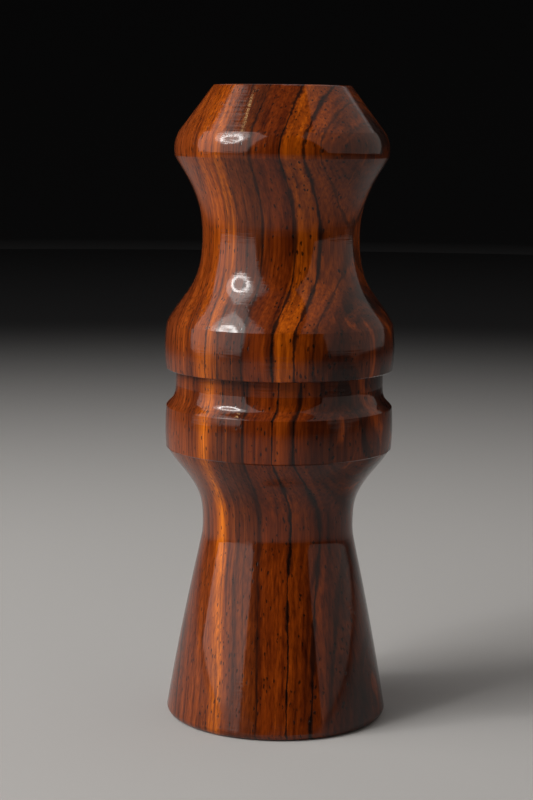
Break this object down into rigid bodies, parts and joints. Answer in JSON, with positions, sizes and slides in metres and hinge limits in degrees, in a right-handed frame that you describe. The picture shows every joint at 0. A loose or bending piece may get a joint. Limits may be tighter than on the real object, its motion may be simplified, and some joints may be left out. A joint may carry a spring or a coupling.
{
  "type": "duck call",
  "caption": "Turned hardwood duck call with a flared exhaust end, lanyard groove and bevelled mouthpiece; barrel pulls off a tone board with flexing reeds.",
  "frame": {"origin": "centre of the exhaust end face, which is the base the call stands on", "axes": "+Z along the bore from the exhaust end to the mouthpiece; the reeds and the sounding face look towards -Y"},
  "size_m": [0.0398, 0.0398, 0.11],
  "materials": {
    "barrel_wood": "glossy clear lacquer over straight-grained tropical rosewood",
    "insert_wood": "glossy clear lacquer over straight-grained tropical rosewood",
    "tone_board_acrylic": "machined and buffed cast acrylic, bone colour",
    "o_ring_rubber": "soft black nitrile with a trace of grease",
    "reed_film": "frosted polyester film",
    "wedge_cork": "raw cork"
  },
  "bodies": {
    "insert": {"insert": "insert_wood", "tone_board": "tone_board_acrylic", "wedge": "wedge_cork"},
    "o_rings": {"o_ring_front": "o_ring_rubber", "o_ring_rear": "o_ring_rubber"},
    "barrel": {"barrel": "barrel_wood"},
    "lower_reed": {"lower_reed": "reed_film"},
    "upper_reed": {"upper_reed": "reed_film"}
  },
  "joints": [
    {"name": "barrel_twist", "type": "hinge", "parent": "insert", "child": "o_rings", "pos_m": [0, 0, 0.0475], "axis": [0, 0, 1], "continuous": true},
    {"name": "barrel_pull", "type": "slide", "parent": "o_rings", "child": "barrel", "axis": [0, 0, 1], "range_m": [0, 0.055]},
    {"name": "lower_reed_flex", "type": "hinge", "parent": "insert", "child": "lower_reed", "pos_m": [0, -0.00147, 0.073], "axis": [1, 0, 0], "range_deg": [-3, 8], "stiffness_Nm_per_rad": 0.007, "deforming": ["lower_reed"]},
    {"name": "upper_reed_flex", "type": "hinge", "parent": "insert", "child": "upper_reed", "pos_m": [0, -0.00147, 0.073], "axis": [1, 0, 0], "range_deg": [-3, 8], "stiffness_Nm_per_rad": 0.007, "deforming": ["upper_reed"]}
  ],
  "couplings": [
    {"joint": "upper_reed_flex", "follows": "lower_reed_flex", "ratio": 1}
  ]
}
